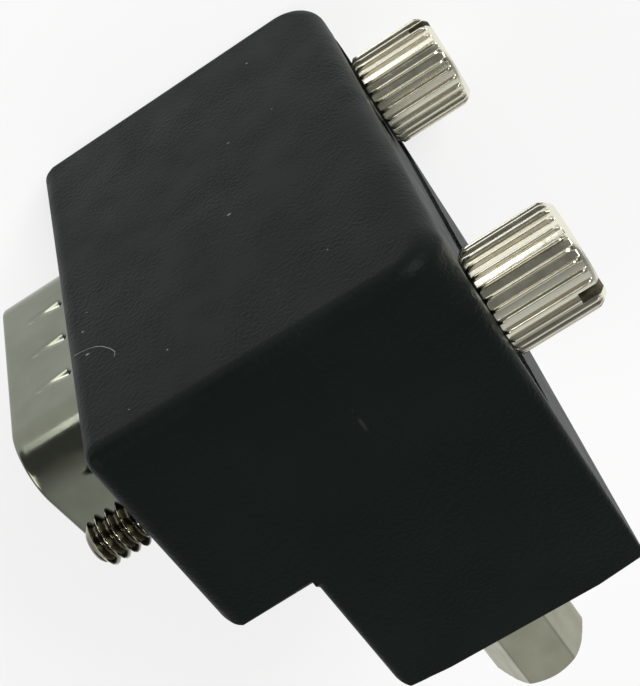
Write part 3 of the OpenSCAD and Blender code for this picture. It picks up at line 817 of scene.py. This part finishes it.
# %% Turn a thumbscrew
SCREW_Z = 12.495
THREAD_TURNS, THREAD_RINGS = 96, 90
TIP_R, TIP_FLARE = 0.86, 1.1
SHANK_R, SHANK_FROM = 1.25, 0.05
GROOVE_R, GROOVE_FROM, GROOVE_TO = 0.95, 8.15, 8.85
KNURL_FROM, CROWN_GAP = 0.8, 0.2
tip_x, knob_end_x = (corner[0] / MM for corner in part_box("near_thumbscrew"))
knob_x = knob_end_x - KNOB_LEN


def screw_ring(x, z, count, radius):
    """A ring round a screw's axis, with a radius for each angle."""
    turns = [math.tau * i / count for i in range(count)]
    return [Vector((x, radius(a) * math.cos(a), z + radius(a) * math.sin(a))) * MM for a in turns]


def turned_screw(bm, z):
    """The thread, the shank and its groove, up to the middle of the knob."""
    rings = []
    for x in steps(tip_x, 0.0, THREAD_RINGS):
        taper = TIP_R + (x - tip_x) * TIP_FLARE
        rings.append(screw_ring(x, z, THREAD_TURNS, lambda a: min(thread_radius(x, a), taper)))
    for x, r in ((SHANK_FROM, SHANK_R), (GROOVE_FROM, SHANK_R), (GROOVE_FROM, GROOVE_R),
                 (GROOVE_TO, GROOVE_R), (GROOVE_TO, SHANK_R), (knob_x + KNOB_LEN / 2, SHANK_R)):
        rings.append(screw_ring(x, z, THREAD_TURNS, lambda a: r))
    skin(bm, rings)


def knurled_knob(bm, z):
    """The knob with its knurl, its chamfered base and its crown."""
    base = steps(0.0, KNOB_BASE_CHAMFER, 8)
    waist = steps(KNURL_FROM, KNOB_LEN - CROWN_LEN - CROWN_GAP, 6)
    crown = steps(KNOB_LEN - CROWN_LEN, KNOB_LEN, 18)
    count = KNURL_COUNT * KNURL_STEPS
    skin(bm, [screw_ring(knob_x + s, z, count, lambda a: knob_radius(s, a)) for s in base + waist + crown])


print("screw from", round(tip_x, 2), "to", round(knob_end_x, 2), "mm")

# %% [markdown]
# The slot is sawn across the knob's end. A boolean does the same with a block, and its result is
# read back as a plain mesh, so that no modifier is left on the piece. The faces that the saw left
# are found by their place, and get the slot's painted shade.

# %% Saw the slot and place both screws
SLOT_W, SLOT_DEPTH, SAW_LEN = 0.8, 1.3, 8.0
SAW_SLACK = 0.002
SLOT_TURNS = {"near": 105.0, "far": 0.0}
SIDES = {"near": 1, "far": -1}


def saw_slot(bm, z, turn_degrees):
    """Cuts the screwdriver slot, turned from +Y towards +Z, and returns a new bmesh."""
    saw_bm = bmesh.new()
    bmesh.ops.create_cube(saw_bm, size=1.0)
    shape = Matrix.Diagonal((2 * SLOT_DEPTH * MM, SAW_LEN * MM, SLOT_W * MM, 1.0))
    turn = Matrix.Rotation(math.radians(turn_degrees), 4, "X")
    place = Matrix.Translation(Vector((knob_end_x, 0.0, z)) * MM)
    bmesh.ops.transform(saw_bm, matrix=place @ turn @ shape, verts=saw_bm.verts)
    result = carved(bm, saw_bm, "DIFFERENCE")
    to_slot = (place @ turn).inverted()
    for face in result.faces:
        inside = to_slot @ face.calc_center_median()
        between_walls = abs(inside.z) < (SLOT_W / 2 + SAW_SLACK) * MM
        if between_walls and inside.x > -(SLOT_DEPTH + SAW_SLACK) * MM:
            # These faces get the slot's painted shade.
            face.material_index = 1
    return result


for side, sign in SIDES.items():
    knob_bm = bmesh.new()
    knurled_knob(knob_bm, sign * SCREW_Z)
    bmesh.ops.recalc_face_normals(knob_bm, faces=knob_bm.faces)
    knob_bm = saw_slot(knob_bm, sign * SCREW_Z, SLOT_TURNS[side])
    turned_screw(knob_bm, sign * SCREW_Z)
    axis_place = Vector((0.0, 0.0, sign * SCREW_Z * MM))
    screw = finish_piece(side + "_knurled_screw", knob_bm, "thumbscrew", side + "_screw",
                         side + "_thumbscrew", sharp_degrees=40, origin=axis_place)
    # The slot's painted shade, as the screw's second material.
    screw.data.materials.append(finishes["slot_painted_shade"])

# %% [markdown]
# ## The pressed shells
#
# A D-shaped shell is one sheet: a flange that the moulding covers, and a wall drawn out of it with a
# rounded rim. The plug's wall has small tear-shaped dimples that grip the mating shell, pressed in
# deeply at the block's end and running out towards the rim. The wall is a ring of points that is
# moved along the draw, so a dimple is only a push on the points inside its outline.

# %% The D outline
SHEET_T = 0.45
D_CORNER_R, D_RISE, D_WIDE = 2.4, 1.78, 6.06
D_NARROW = D_WIDE - 2 * D_RISE * math.tan(math.radians(10))
CORNER_STEPS = 18
SIDE_STEPS = {"wide": 150, "end": 8, "narrow": 132}


def d_points(grow):
    """The D as (u, v, side) points, wide side at +v, grown by a distance in mm."""
    slant = math.atan2(D_WIDE - D_NARROW, 2 * D_RISE)
    level = math.pi / 2
    corners = (((D_WIDE, D_RISE), level, -slant, "end"),
               ((D_NARROW, -D_RISE), -slant, -level, "narrow"),
               ((-D_NARROW, -D_RISE), -level, -math.pi + slant, "end"),
               ((-D_WIDE, D_RISE), math.pi + slant, level, "wide"))
    r = D_CORNER_R + grow
    arcs = [[(cu + r * math.cos(a), cv + r * math.sin(a)) for a in steps(start, end, CORNER_STEPS)]
            for (cu, cv), start, end, _ in corners]
    points = []
    for i, arc in enumerate(arcs):
        points += [(u, v, "corner") for u, v in arc]
        side = corners[i][3]
        (u0, v0), (u1, v1) = arc[-1], arcs[(i + 1) % len(arcs)][0]
        for t in steps(0.0, 1.0, SIDE_STEPS[side])[1:-1]:
            points.append((u0 + (u1 - u0) * t, v0 + (v1 - v0) * t, side))
    return points


print("D outline of", len(d_points(0.0)), "points")

# %% The dimples' push
DIMPLE_PITCH = 3.7
DIMPLE_DEEP_END = -1.85
DIMPLE_LEN, DIMPLE_STEEP_LEN = 2.5, 0.24
DIMPLE_NARROW, DIMPLE_WIDE = 0.26, 0.52
DIMPLE_PUSH = 0.3
dimple_slope = math.atan(DIMPLE_PUSH / (DIMPLE_LEN - DIMPLE_STEEP_LEN))


def dimple_run(depth):
    """0 outside a dimple, rising slowly along the draw to 1, and falling steeply at its deep end."""
    from_deep_end = DIMPLE_DEEP_END - depth
    steep = from_deep_end / DIMPLE_STEEP_LEN
    gentle = (DIMPLE_LEN - from_deep_end) / (DIMPLE_LEN - DIMPLE_STEEP_LEN)
    return max(0.0, min(steep, gentle))


def dimple_share(u, depth):
    """How deep the wall is in a dimple here, from 0 to 1."""
    off_middle = abs(u - DIMPLE_PITCH * max(-1, min(1, round(u / DIMPLE_PITCH))))
    run = dimple_run(depth)
    half_w = DIMPLE_NARROW + (DIMPLE_WIDE - DIMPLE_NARROW) * run
    return run * math.cos(math.pi / 2 * min(1.0, off_middle / half_w)) ** 2


def dimple_painted_light(u, depth):
    """The painted highlight on a dimple's slope and the painted shade in the pit at its deep end, each from
    0 to 1.
    """
    share = dimple_share(u, depth)
    at_deep_end = depth > DIMPLE_DEEP_END - 1.3 * DIMPLE_STEEP_LEN
    return (0.0, min(1.0, 2.0 * share)) if at_deep_end else (min(1.0, 1.5 * share), 0.0)


print("dimple slope", round(math.degrees(dimple_slope), 1), "degrees")

# %% The flange
FLANGE_HALF_LEN, FLANGE_HALF_H, FLANGE_CORNER_R = 14.445, 5.78, 1.0
FLANGE_HOLE_R = 1.55


def flange_loops():
    """The flange's outer edge and its two screw holes, as loops of (u, v) points."""
    edge = []
    for su, sv, start in ((1, 1, 0), (-1, 1, 90), (-1, -1, 180), (1, -1, 270)):
        cu, cv = su * (FLANGE_HALF_LEN - FLANGE_CORNER_R), sv * (FLANGE_HALF_H - FLANGE_CORNER_R)
        for a in steps(start, start + 90, 8):
            edge.append((cu + FLANGE_CORNER_R * math.cos(math.radians(a)),
                         cv + FLANGE_CORNER_R * math.sin(math.radians(a))))
    holes = [[(side * SCREW_Z + FLANGE_HOLE_R * math.cos(a), FLANGE_HOLE_R * math.sin(a))
              for a in steps(0.0, math.tau, 41)[:-1]] for side in (-1, 1)]
    return [edge] + holes


def spread_flange(bm, front_wall, back_wall, place):
    """Fills the flange's two faces round the wall, and joins their edges and holes."""
    loops_of = []
    for depth, wall in ((0.0, front_wall), (SHEET_T, back_wall)):
        loops = [[bm.verts.new(place(u, v, depth)) for u, v in loop] for loop in flange_loops()]
        edges = [bm.edges.get((a, b)) for a, b in zip(wall, wall[1:] + wall[:1])]
        for loop in loops:
            edges += [bm.edges.new((a, b)) for a, b in zip(loop, loop[1:] + loop[:1])]
        bmesh.ops.triangle_fill(bm, edges=edges, use_beauty=True)
        loops_of.append(loops)
    for front_loop, back_loop in zip(*loops_of):
        for i in range(len(front_loop)):
            j = (i + 1) % len(front_loop)
            bm.faces.new((front_loop[i], front_loop[j], back_loop[j], back_loop[i]))


print("flange", 2 * FLANGE_HALF_LEN, "by", 2 * FLANGE_HALF_H, "mm")

# %% Press both shells
SHELL_REACH = 6.0
DIMPLED_FROM, DIMPLED_TO, PLAIN_FROM = -1.7, -4.5, -4.7
RIM_R = SHEET_T / 2
FRONT_WALL = 0.9
SOCKET_X, SOCKET_DROP = 12.1, 16.6
PLUG_GROW, SOCKET_GROW = SHEET_T, -0.27
draw = (steps(0.0, DIMPLED_FROM, 6)[:-1] + steps(DIMPLED_FROM, DIMPLED_TO, 60)
        + steps(PLAIN_FROM, RIM_R - SHELL_REACH, 5))


def pressed_shell(name, node, place, outer_grow, dimpled):
    """One drawn shell: the wall, its round rim and the flange, by a place(u, v, depth) in mm."""
    bm = bmesh.new()
    # Per-point shares of the dimples' painted highlight and painted pit shade.
    painted_dimple_highlight, painted_pit_shade = (bm.verts.layers.float.new(mark) for mark in DIMPLE_PAINTED_LIGHT)
    inner_grow = outer_grow - SHEET_T

    def wall_ring(depth, grow):
        ring = []
        for u, v, side in d_points(grow):
            flat_side = dimpled and side in ("wide", "narrow")
            push = DIMPLE_PUSH * dimple_share(u, depth) if flat_side else 0.0
            ring.append(place(u, v - math.copysign(push, v), depth))
        return ring

    rings = [wall_ring(d, outer_grow) for d in draw]
    for a in steps(0.0, math.pi, 9)[1:-1]:
        rings.append(wall_ring(RIM_R - SHELL_REACH - RIM_R * math.sin(a),
                               outer_grow - RIM_R + RIM_R * math.cos(a)))
    rings += [wall_ring(d, inner_grow) for d in reversed(draw)]
    rings.append(wall_ring(SHEET_T, inner_grow))
    rows = skin(bm, rings, capped=False)
    for depth, row in zip(draw, rows):
        for vert, (u, _, side) in zip(row, d_points(outer_grow)):
            if dimpled and side in ("wide", "narrow"):
                vert[painted_dimple_highlight], vert[painted_pit_shade] = dimple_painted_light(u, depth)
    spread_flange(bm, rows[0], rows[-1], place)
    finish_piece(name, bm, "plated_shell", "adapter_body", node, sharp_degrees=42)


pressed_shell("plug_pressed_shell", "plug_shell",
              lambda u, v, d: Vector((FRONT_WALL + d, v, -u)) * MM, PLUG_GROW, True)
pressed_shell("socket_pressed_shell", "socket_shell",
              lambda u, v, d: Vector((SOCKET_X + v, d - SOCKET_DROP, u)) * MM, SOCKET_GROW, False)

# %% [markdown]
# ## The jack nuts
#
# Two hexagonal nuts hold the socket, and a mating plug's screws go into their threaded ends. The
# outline is the hexagon's own polar formula with its corners eased, and the turned chamfer at the
# end is a cone that cuts it, so the end shows the arcs of a real nut.

# %% The hexagon and its chamfer
NUT_LEN = 6.0
NUT_HALF_FLATS = 2.475
NUT_CHAMFER = 0.6
CORNER_EASE = 0.03
nut_corner_r = NUT_HALF_FLATS * 2 / math.sqrt(3)


def hexagon_radius(turn):
    """Radius of the hexagon in mm, with its flats across and its corners eased."""
    flat = NUT_HALF_FLATS / math.cos(turn % (math.pi / 3) - math.pi / 6)
    return min(flat, nut_corner_r - CORNER_EASE)


def nut_radius(along, turn):
    """The hexagon, cut by the cone of the chamfer towards the nut's end."""
    cone = nut_corner_r - NUT_CHAMFER + (NUT_LEN - along)
    return min(hexagon_radius(turn), cone)


print("nut across corners", round(2 * (nut_corner_r - CORNER_EASE), 2), "mm")

# %% Cut both jack nuts
STUD_LEN = 3.5
NUT_TURNS = 180
CHAMFER_RUN = 1.1
NUT_HOLE_DEPTH, HOLE_SLACK, HOLE_FLARE, HOLE_FLOOR_R = 4.4, 0.09, 0.12, 0.3


def nut_ring(along, z, radius):
    """A ring round a nut's axis, which points down from the socket's face."""
    turns = [math.tau * i / NUT_TURNS for i in range(NUT_TURNS)]
    return [Vector((SOCKET_X + radius(a) * math.cos(a), -SOCKET_DROP - along, z + radius(a) * math.sin(a)))
            * MM for a in turns]


def cut_jack_nut(side, z):
    """One nut: its stud, the hexagon, the chamfered end and the threaded hole."""
    rings = [nut_ring(-STUD_LEN, z, lambda a: THREAD_TOP_R), nut_ring(0.0, z, lambda a: THREAD_TOP_R)]
    chamfer_from = NUT_LEN - CHAMFER_RUN
    along = steps(0.0, chamfer_from, 6)[:-1] + steps(chamfer_from, NUT_LEN, 16)
    rings += [nut_ring(s, z, lambda a: nut_radius(s, a)) for s in along]
    hole = steps(NUT_LEN, NUT_LEN - NUT_HOLE_DEPTH, 90)
    for s in hole:
        flare = THREAD_TOP_R + HOLE_FLARE - (NUT_LEN - s)
        rings.append(nut_ring(s, z, lambda a: max(thread_radius(s, a) + HOLE_SLACK, flare)))
    rings.append(nut_ring(hole[-1], z, lambda a: HOLE_FLOOR_R))
    bm = bmesh.new()
    skin(bm, rings)
    finish_piece(side + "_hex_nut", bm, "jack_nut", "adapter_body", side + "_jack_nut", sharp_degrees=35)


for side, sign in SIDES.items():
    cut_jack_nut(side, sign * SCREW_Z)

# %% [markdown]
# ## Lint on the top face
#
# The adapter has been used: a curled fibre and a few flecks of dust lie on its top face. A curve
# with a round bevel would do for the fibre, but a mesh tube exports as it is. It follows a few
# points on the face, and rests in its skin. The record has no slot for lint, so both pieces take the
# plastic's slot and only show the lint's own finish.

# %% Lay the fibre
TOP_Y = block_hi[1]
FIBRE_R, FIBRE_END_SHARE = 0.03, 0.45
fibre_path = ((0.65, 6.76), (1.09, 6.85), (1.58, 7.00), (2.00, 7.23), (2.34, 7.57), (2.72, 8.15),
              (2.97, 8.70), (2.90, 9.02), (2.78, 9.20))

tree, shader = start_finish("lint", (0.17, 0.18, 0.17), 0.85)
tree.links.new(tinted(tree, cloud(tree, 0.3), [(0.3, (0.15, 0.16, 0.15)), (0.7, (0.32, 0.33, 0.32))]),
               shader.inputs["Base Color"])


def fibre_tube(bm, path, radius):
    """A round tube along points on the top face, thinning to its two ends."""
    upwards = Vector((0, 1, 0))
    centres = [Vector((x, TOP_Y - radius, z)) for x, z in path]
    last = len(centres) - 1
    rings = []
    for i, centre in enumerate(centres):
        ahead = (centres[min(i + 1, last)] - centres[max(i - 1, 0)]).normalized()
        across = ahead.cross(upwards).normalized()
        thin = FIBRE_END_SHARE if i in (0, last) else 1.0
        rings.append([(centre + radius * thin * (across * math.cos(a) + upwards * math.sin(a))) * MM
                      for a in steps(0.0, math.tau, 9)[:-1]])
    skin(bm, rings)


fibre_bm = bmesh.new()
fibre_tube(fibre_bm, fibre_path, FIBRE_R)
lint_fibre = finish_piece("lint_fibre", fibre_bm, "moulded_plastic", "adapter_body", sharp_degrees=60)
lint_fibre.data.materials[0] = finishes["lint"]

# %% Scatter the dust
DUST_HALF, DUST_SPREAD = 0.05, 0.025
FLECK_T = 0.01
FLECK_CORNERS = 6
dust_places = ((1.75, 3.51), (1.33, 5.12), (1.41, 7.43), (3.15, 14.2), (5.79, 11.36), (14.99, -12.35),
               (15.31, -5.16), (12.24, -4.52), (10.95, 2.84), (15.13, 11.43))


def dust_fleck(bm, x, z, number):
    """A thin uneven fleck that lies on the top face."""
    half = DUST_HALF + DUST_SPREAD * (number % 3)
    corners = []
    for k in range(FLECK_CORNERS):
        turn = k * math.tau / FLECK_CORNERS
        long_way = half * (1.0 + 0.35 * math.sin(number + 2.3 * k))
        short_way = 0.6 * half * (1.0 + 0.3 * math.cos(1.7 * number + k))
        corners.append((x + long_way * math.cos(turn), z + short_way * math.sin(turn)))
    skin(bm, [[Vector((u, TOP_Y - FLECK_T + lift, w)) * MM for u, w in corners] for lift in (0.0, FLECK_T)])


dust_bm = bmesh.new()
for number, (x, z) in enumerate(dust_places):
    dust_fleck(dust_bm, x, z, number)
dust_flecks = finish_piece("dust_flecks", dust_bm, "moulded_plastic", "adapter_body", sharp_degrees=30)
dust_flecks.data.materials[0] = finishes["lint"]
